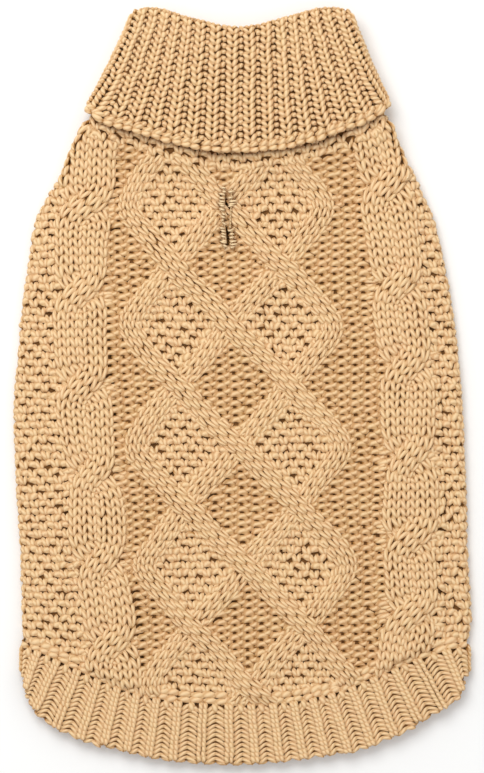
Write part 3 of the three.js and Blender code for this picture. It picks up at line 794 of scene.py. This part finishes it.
def makeCollar(material):
    ribs, sides = collar["ribs"], collar["sideRibs"]
    made = []
    for name, first, count, grain in (
        ("collarRibs", -sides, ribs + 2 * sides, fineGrain),
        ("collarUnderside", ribs + sides, ribs, plainGrain),
    ):
        piece = YarnPiece(name, grain, 0.6)
        u, v = grid(first, first + count - 1, 1, 21)
        knitStitches(piece, collarSurface, u + 0.5, v, collar["halfWidth"], collarLook)
        # Purl bumps down each groove, painted a little darker as painted shade
        us = three(u - 0.17, u, u + 0.17)
        tilt = wander(len(u), 0.2)
        vs = three(v + 0.2 + tilt, v + 0.55, v + 0.2 - tilt)
        piece.lay(collarPlain, us, vs, three(0.4, 1.15, 0.4), 1.7, 1.25, 0.96)
        # The cast-off edge is a chain of long loops
        u, v = grid(first * 2, (first + count) * 2 - 1, 0, 0)
        u = u / 2 + 0.25
        for level, thickness, slant in ((0.95, 1.6, 0.3), (0.15, 1.9, -0.22)):
            us = three(u - 0.31, u, u + 0.31) + wander(len(u), 0.03)[:, None]
            vs = three(level - slant, level, level + slant) + wander(len(u), 0.08)[:, None]
            piece.lay(collarSurface, us, vs, three(-0.5, 0.7, -0.5), thickness, 1.6)
        made.append(piece.build(material))
    return made


# Hem band
hem = {
    "ribs": 20,
    "row": 2.5,
    "ribRise": 1.7,
    "ridgeHalfWidth": 1.5,
    "chevronHalfWidth": 1.2,
    "sideShare": 0.02,
    "evenness": 0.035,
    "bellyWidth": 14.3,
    "bellySag": 4.8,
}
hemColumn = [smoothCurve(hemRows, 0, column) for column in range(5)]


def hemLength(across, below):
    joinX, joinY = hemColumn[1](across), hemColumn[2](across)
    topLength = np.hypot(hemColumn[3](across) - joinX, hemColumn[4](across) - joinY)
    return np.where(below, hem["bellyWidth"] + hem["bellySag"] * np.sin(np.pi * across), topLength)


def hemAcross(u):
    ribs = hem["ribs"]
    u = np.mod(u, 2 * (ribs + 1))
    onTop = u <= ribs
    onRight = (u > ribs) & (u <= ribs + 1)
    onBottom = (u > ribs + 1) & (u <= 2 * ribs + 1)
    onLeft = u > 2 * ribs + 1
    rightAngle = np.pi / 2 - np.pi * (u - ribs)
    leftAngle = -np.pi / 2 + np.pi * (u - 2 * ribs - 1)
    angle = np.where(onRight, rightAngle, np.where(onLeft, leftAngle, np.where(onTop, np.pi / 2, -np.pi / 2)))
    flatShare = np.where(onTop, u / ribs, np.where(onBottom, (2 * ribs + 1 - u) / ribs, np.where(onLeft, 0, 1)))
    sideShare = hem["sideShare"]
    flatShare = flatShare + hem["evenness"] * np.sin(2 * np.pi * flatShare)
    across = blend(sideShare, 1 - sideShare, flatShare)
    across = across + sideShare * np.cos(angle) * np.where(onRight, 1, np.where(onLeft, -1, 0))
    return across, angle, np.where(onRight, 1, np.where(onLeft, -1, 0))


# u counts ribs as on the collar, and v rows from the joint down to the edge
def hemPoint(u, v, rise):
    across, angle, side = hemAcross(u)
    below = angle < 0
    joinX = hemColumn[1](across)
    joinY = np.where(below, bellyJoinY(joinX), hemColumn[2](across))
    length = hemLength(across, below)
    along = np.clip(-v * hem["row"] / length, -0.2, 1)
    beyond = np.maximum(-v * hem["row"] - length, 0) / body["halfDepth"]
    endX = np.where(below, joinX, hemColumn[3](across))
    endY = np.where(below, joinY - length, hemColumn[4](across))
    turn = np.minimum(beyond, np.pi / 2)
    radius = body["halfDepth"] + rise
    x = blend(joinX, endX, along) + side * rise * np.cos(angle)
    y = blend(joinY, endY, along) - 2.0 * np.sin(turn)
    z = body["halfDepth"] + radius * np.sin(angle) * (1 - 0.6 * (1 - np.cos(turn)))
    return np.stack([x, y, z], axis=-1)


def hemRidge(u, v):
    fromRidge = np.abs(u - np.floor(u) - 0.5)
    upper = np.where(hemAcross(u)[1] > 0, 1.0, 0.0)
    return hemPoint(u, v, hem["ribRise"] * (1 - softStep((fromRidge - 0.1) / 0.22)) * upper)


def makeHem(material):
    ribs = hem["ribs"]
    made = []
    for name, first, count, grain in (
        ("hemRibs", -1, ribs + 2, fineGrain),
        ("hemUnderside", ribs + 1, ribs, plainGrain),
    ):
        piece = YarnPiece(name, grain, 0.7)
        u, v = grid(first, first + count - 1, -14, -1)
        across, angle, side = hemAcross(u + 0.5)
        fits = -v * hem["row"] < hemLength(across, angle < 0) - 0.5
        knitStitches(piece, hemRidge, u[fits] + 0.5, v[fits], hem["ridgeHalfWidth"], hemLook)
        across, angle, side = hemAcross(u)
        fits = -v * hem["row"] < hemLength(across, angle < 0) - 0.5
        cu, cv = u[fits], v[fits] + wander(fits.sum(), 0.04)
        for side in (-1, 1):
            us = three(cu - side * 0.09, cu + side * 0.16, cu + side * 0.38)
            vs = three(cv + 0.30, cv - 0.20, cv - 1.35)
            piece.lay(hemRidge, us, vs, three(0.6, 0.75, 0.1), hem["chevronHalfWidth"], 1.1, 1.0)
        made.append(piece.build(material))
    # The row of loops where the band is picked up along the body
    piece = YarnPiece("hemJoint", fineGrain, 0.7)
    u = np.arange(-2, 2 * (2 * ribs + 2) - 2) / 2 + 0.25
    for level, height, thickness in ((1.3, 0.95, 2.3), (0.0, 1.0, 2.0)):
        us = three(u - 0.35, u, u + 0.35) + wander(len(u), 0.04)[:, None]
        vs = three(level - 0.25, level + 0.2, level - 0.25) + wander(len(u), 0.12)[:, None]
        piece.lay(hemPointPlain, us, vs, three(-0.1, height, -0.1), thickness, 1.5)
    us = three(u + 0.25, u + 0.25, u + 0.25) + wander(len(u), 0.03)[:, None]
    piece.lay(hemPointPlain, us, three(-2.5, -1.1, 0.2), three(0.5, 1.1, 0.7), 1.95, 1.3)
    # The cast-off edge, painted a tenth darker as painted shade
    across, angle, side = hemAcross(u)
    last = -hemLength(across, angle < 0) / hem["row"]
    us = three(u - 0.27, u, u + 0.27)
    vs = three(last + 0.75, last + 0.35, last + 0.6)
    piece.lay(hemPointPlain, us, vs, three(-0.7, 0.1, -0.7), 1.4, 1.4, 0.9)
    made.append(piece.build(material))
    return made


def hemPointPlain(u, v):
    return hemPoint(u, v, 0.0)


# Belly, in plain knit, with an opening for each front leg
belly = {
    "wale": 5.6,
    "row": 4.8,
    "halfWidth": 1.6,
    "legX": 54.0,
    "legY": 66.0,
    "legHalfWidth": 20.0,
    "legHalfLength": 29.0,
}


def bellySurface(u, v):
    y = v * belly["row"]
    x = -u * belly["wale"]
    return np.stack([x, y, bodyLift(x, y)], axis=-1)


def makeBelly(material):
    piece = YarnPiece("bellyKnit", plainGrain, 0.7)
    u, v = grid(-20, 20, -30, 32)
    x, y = -u * belly["wale"], v * belly["row"]
    left = bodyLine["left"](y) + body["underFold"]
    right = bodyLine["right"](y) - body["underFold"]
    inside = (x > left + 0.6) & (x < right - 0.6) & (y > bellyJoinY(x) + 2) & (y < body["neckSeamY"] - 3)
    across = (np.abs(x) - belly["legX"]) / (belly["legHalfWidth"] + 1.6)
    along = (y - belly["legY"]) / (belly["legHalfLength"] + 1.6)
    keep = inside & (across ** 2 + along ** 2 > 1)
    knitStitches(piece, bellySurface, u[keep], v[keep], belly["halfWidth"])

    # Each side seam shows as one column of plain stitches
    for line, side in (("left", -1), ("right", 1)):
        def seam(u, v):
            y = v * belly["row"]
            x = bodyLine[line](y) - side * body["underFold"] - u * belly["wale"]
            return np.stack([x, y, bodyLift(x, y)], axis=-1)
        v = np.arange(-28, 32) + 0.5
        x, y, z = seam(0 * v, v).T
        keep = (y > bellyJoinY(x) + 2) & (y < body["neckSeamY"] - 1)
        knitStitches(piece, seam, 0 * v[keep], v[keep], 1.8)

    # Loops round each leg opening
    for side in (-1, 1):
        def ring(u, v):
            angle = side * 2 * np.pi * u / 34
            x = side * belly["legX"] + (belly["legHalfWidth"] + v) * np.cos(angle) * side
            y = belly["legY"] + (belly["legHalfLength"] + v) * np.sin(angle)
            return np.stack([x, y, bodyLift(x, y)], axis=-1)
        u = np.arange(34) + 0.0
        us = three(u - 0.6, u, u + 0.6)
        vs = three(1.4 + 0 * u, 1.0 + 0 * u, 1.4 + 0 * u)
        piece.lay(ring, us, vs, three(-0.4, 0.1, -0.4), 1.5, 1.2, 1.0)
    return piece.build(material)


def slitSurface(x, y):
    return backPoint(x, y, strandRelief(x, y))


def makeSlitStitching(material):
    piece = YarnPiece("slitStitching", plainGrain, 0.0)
    y = np.arange(slit["bottom"] + 0.6, slit["top"] - 0.4, slit["step"])
    for side in (-1, 1):
        reach = 4.0 + wander(len(y), 0.9)
        us = three(slit["x"] + side * 0.5, slit["x"] + side * reach / 2, slit["x"] + side * reach)[:, ::side]
        vs = three(y, y + 0.3, y + 0.9)[:, ::side] + wander(len(y), 0.3)[:, None]
        piece.lay(slitSurface, us, vs, three(1.5, 2.5, 1.4), slit["halfWidth"], 0.6)
        # Two finer cords lie along each lip under the binding, painted darker there as painted shade
        for offset in (1.25, 2.2):
            us = three(slit["x"] + side * offset, slit["x"] + side * offset, slit["x"] + side * offset)
            piece.lay(slitSurface, us + 0 * y[:, None], three(y - 1.2, y, y + 1.2), 1.3, 0.7, 0.8, 0.8)
    return piece.build(material)


# Materials
class Wire:
    # A socket of a node tree that can be used in sums
    def __init__(self, tree, socket=None):
        self.tree = tree
        self.socket = socket

    def node(self, kind, settings, inputs, output=0):
        made = self.tree.nodes.new(kind)
        for name, value in settings.items():
            setattr(made, name, value)
        for name, value in inputs.items():
            if isinstance(value, Wire):
                self.tree.links.new(value.socket, made.inputs[name])
            else:
                made.inputs[name].default_value = value
        return Wire(self.tree, made.outputs[output])

    def maths(self, operation, first, second):
        return self.node("ShaderNodeMath", {"operation": operation}, {0: first, 1: second})

    def __add__(self, other):
        return self.maths("ADD", self, other)

    def __radd__(self, other):
        return self.maths("ADD", other, self)

    def __sub__(self, other):
        return self.maths("SUBTRACT", self, other)

    def __rsub__(self, other):
        return self.maths("SUBTRACT", other, self)

    def __mul__(self, other):
        return self.maths("MULTIPLY", self, other)

    def __rmul__(self, other):
        return self.maths("MULTIPLY", other, self)

    def mixed(self, factor, first, second):
        settings = {"data_type": "RGBA", "clamp_factor": True}
        return self.node("ShaderNodeMix", settings, {0: factor, 6: first, 7: second}, 2)


# Colours of the yarn: body and ruddy are its own tones, the shadow and the two dark browns are painted shade, and the
# pale colour is a painted highlight
yarnLook = {
    "paintedShadeBrown": (0.25, 0.105, 0.024, 1),
    "body": (0.71, 0.46, 0.215, 1),
    "paintedHighlight": (0.96, 0.74, 0.45, 1),
    "ruddy": (0.69, 0.375, 0.18, 1),
    "shadow": (0.37, 0.165, 0.032, 1),
    "roughness": 0.95,
    "sheen": 0.04,
    "paintedShadeBacking": (0.17, 0.078, 0.026, 1),
    "wale": 5.6,
    "row": 4.4,
}


# The kinds are ply for a length of yarn, backing for the cloth between them, painted dark brown as the shade seen down
# between the stitches, and inside for its purl side, with painted shade in the grooves of its rows
def yarnMaterial(name, look, kind):
    material = bpy.data.materials.new(name)
    material.use_nodes = True
    tree = material.node_tree
    shader = tree.nodes["Principled BSDF"]
    start = Wire(tree)
    place = start.node("ShaderNodeTexCoord", {}, {}, "Object")
    mottle = start.node("ShaderNodeTexNoise", {}, {"Vector": place, "Scale": 55.0, "Detail": 3.0})
    fibre = start.node("ShaderNodeTexNoise", {}, {"Vector": place, "Scale": 1700.0, "Detail": 2.0})
    if kind == "ply":
        paintedLight = start.node("ShaderNodeAttribute", {"attribute_name": "paintedLight"}, {}, "Fac")
        tone = start.node("ShaderNodeAttribute", {"attribute_name": "tone"}, {}, "Fac")
        uv = start.node("ShaderNodeUVMap", {"uv_map": "yarn"}, {})
        around = start.node("ShaderNodeSeparateXYZ", {}, {0: uv}, 0)
        along = start.node("ShaderNodeSeparateXYZ", {}, {0: uv}, 1)
        turn = start.maths("SINE", (around * 3.0 + along * 2.6) * (2 * math.pi), 0.0)
        ridge = 0.5 + turn * 0.5
        surface = start.mixed(tone * 0.55 + mottle * 0.35, look["ruddy"], look["body"])
        # Painted highlight along the top of each length and on the crests of its ply twist
        surface = start.mixed(ridge * 0.30 + (paintedLight - 0.6) * 1.0, surface, look["paintedHighlight"])
        # Painted shadow down the sides, underside and ends of each length and in the grooves of its ply twist
        colour = start.mixed((paintedLight - 0.45) * 2.3 + (ridge - 0.6) * 0.4, look["shadow"], surface)
        height = ridge * 0.8 + fibre * 0.5
        reach = 0.0004
    elif kind == "paintedShadeBacking":
        # The cloth between the lengths is painted in dark browns, as the shade seen down between the stitches
        colour = start.mixed(mottle * 0.4, look["paintedShadeBacking"], look["paintedShadeBrown"])
        height = fibre * 1.0
        reach = 0.0004
    else:
        across = start.node("ShaderNodeSeparateXYZ", {}, {0: place}, 0)
        along = start.node("ShaderNodeSeparateXYZ", {}, {0: place}, 1)
        arch = start.maths("SINE", across * (2000 * math.pi / look["wale"]), 0.0)
        row = start.maths("SINE", (along * (1000 / look["row"]) + arch * 0.2) * math.pi, 0.0)
        arches = start.maths("ABSOLUTE", row, 0.0)
        surface = start.mixed(mottle * 0.6, look["ruddy"], look["body"])
        # Painted shade in the grooves between the purl rows of the inside, over the rows' own pattern and bump
        colour = start.mixed(arches * 1.4 - 0.1, look["shadow"], surface)
        height = arches + fibre * 0.1
        reach = 0.0015
    bump = start.node("ShaderNodeBump", {}, {"Height": height, "Strength": 0.55, "Distance": reach})
    tree.links.new(colour.socket, shader.inputs["Base Color"])
    tree.links.new(bump.socket, shader.inputs["Normal"])
    shader.inputs["Roughness"].default_value = look["roughness"]
    shader.inputs["Sheen Weight"].default_value = look["sheen"]
    shader.inputs["Specular IOR Level"].default_value = 0.08
    return material


yarn = yarnMaterial("camelYarn", yarnLook, "ply")
paintedShadeYarn = yarnMaterial("camelYarnPaintedShade", yarnLook, "paintedShadeBacking")
insideYarn = yarnMaterial("camelYarnInside", yarnLook, "inside")
threadLook = dict(yarnLook, body=(0.90, 0.71, 0.45, 1), ruddy=(0.84, 0.63, 0.38, 1))
paleThread = yarnMaterial("paleThread", threadLook, "ply")


# Cloth shells: each CAD wall, thinned so that the stitches can lie on it
shellLook = {"thinning": 1.1, "insideAbove": 2.5, "evened": ("collar", "hem_band"), "evenings": 5}


def makeShell(node, name):
    bm = bmesh.new()
    bm.from_mesh(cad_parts[node].data)
    bmesh.ops.remove_doubles(bm, verts=bm.verts, dist=1e-6)
    bm.normal_update()
    shifts = []
    for vertex in bm.verts:
        x, y, z = vertex.co / millimetre
        shift = vertex.normal * shellLook["thinning"] * millimetre
        if min(abs(y - hemJoinY(x)), abs(y - bellyJoinY(x))) < 1.5:
            shift.y = 0
        if z < 3.2 and min(abs(x - bodyLine["left"](y) - 22), abs(x - bodyLine["right"](y) + 22)) < 1.5:
            shift.x = 0
        shifts.append(shift)
    for vertex, shift in zip(bm.verts, shifts):
        vertex.co -= shift
    # Under the ribs the cloth is evened out in height alone
    if node in shellLook["evened"]:
        upper = [vertex for vertex in bm.verts if vertex.normal.z > 0.5]
        for turn in range(shellLook["evenings"]):
            bmesh.ops.smooth_vert(bm, verts=upper, factor=0.5, use_axis_z=True)
    bm.normal_update()
    for face in bm.faces:
        face.smooth = True
        above = face.calc_center_median().z > shellLook["insideAbove"] * millimetre
        face.material_index = int(above and face.normal.z < -0.3)
    mesh = bpy.data.meshes.new(name)
    bm.to_mesh(mesh)
    bm.free()
    # Most faces take the backing painted dark as shade, and faces high up that face down take the inside, with painted
    # shade in its grooves
    mesh.materials.append(paintedShadeYarn)
    mesh.materials.append(insideYarn)
    shell = bpy.data.objects.new(name, mesh)
    bpy.context.scene.collection.objects.link(shell)
    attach(shell, "root")
    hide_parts(node)
    area = sum(polygon.area for polygon in mesh.polygons)
    print(f"{name}: area of both sides {area:.4f} square metres")
    return shell


backCloth = makeShell("back_panel", "backPanelCloth")
bellyCloth = makeShell("belly_panel", "bellyPanelCloth")
collarCloth = makeShell("collar", "collarCloth")
hemCloth = makeShell("hem_band", "hemBandCloth")
print("Cloth shells made")

backStitches = [
    makeCable("leftCable", "leftCable", cable["leftCrossings"], yarn),
    makeCable("rightCable", "rightCable", cable["rightCrossings"], yarn),
    makeLattice(yarn),
    makeSideMoss("sideMossLeft", "leftCable", -1, yarn),
    makeSideMoss("sideMossRight", "rightCable", 1, yarn),
    makeNeckStrip(yarn),
    makeSlitStitching(paleThread),
]
backStitches += makeGround(yarn)
collarStitches = makeCollar(yarn)
hemStitches = makeHem(yarn)
bellyStitches = [makeBelly(yarn)]
print("Stitches laid")

# Stage: a pale floor, soft light and a camera straight above
stage = {
    "floorColour": (0.93, 0.93, 0.92, 1),
    "worldStrength": 0.74,
    "keyPower": 11.8,
    "keySize": 0.9,
    "cameraHeight": 2.0,
    "viewLength": 0.4097,
    "viewCentre": (-0.0003, 0.0005),
}

bm = bmesh.new()
bmesh.ops.create_grid(bm, x_segments=1, y_segments=1, size=3.0)
bmesh.ops.translate(bm, verts=bm.verts, vec=(0, 0, -0.0003))
floorMesh = bpy.data.meshes.new("floor")
bm.to_mesh(floorMesh)
bm.free()
floor = bpy.data.objects.new("floor", floorMesh)
bpy.context.scene.collection.objects.link(floor)
floorMaterial = bpy.data.materials.new("paleFloor")
floorMaterial.use_nodes = True
floorShader = floorMaterial.node_tree.nodes["Principled BSDF"]
floorShader.inputs["Base Color"].default_value = stage["floorColour"]
floorShader.inputs["Roughness"].default_value = 0.9
floorMesh.materials.append(floorMaterial)

world = bpy.data.worlds.new("softSky")
world.use_nodes = True
world.node_tree.nodes["Background"].inputs["Color"].default_value = (1, 1, 1, 1)
world.node_tree.nodes["Background"].inputs["Strength"].default_value = stage["worldStrength"]
bpy.context.scene.world = world


def addLight(name, place, size, power):
    light = bpy.data.lights.new(name, "AREA")
    light.size = size
    light.energy = power
    lamp = bpy.data.objects.new(name, light)
    lamp.location = place
    lamp.rotation_euler = (-Vector(place)).to_track_quat("-Z", "Y").to_euler()
    bpy.context.scene.collection.objects.link(lamp)


addLight("keyLight", (-0.35, 0.75, 1.2), stage["keySize"], stage["keyPower"])

camera = bpy.data.cameras.new("camera")
camera.sensor_width = 36.0
camera.lens = 36.0 * (stage["cameraHeight"] - 0.007) / stage["viewLength"]
camera.clip_end = 20.0
cameraObject = bpy.data.objects.new("camera", camera)
cameraObject.location = (stage["viewCentre"][0], stage["viewCentre"][1], stage["cameraHeight"])
bpy.context.scene.collection.objects.link(cameraObject)
bpy.context.scene.camera = cameraObject
bpy.context.scene.view_settings.view_transform = "Standard"
print("Stage set")
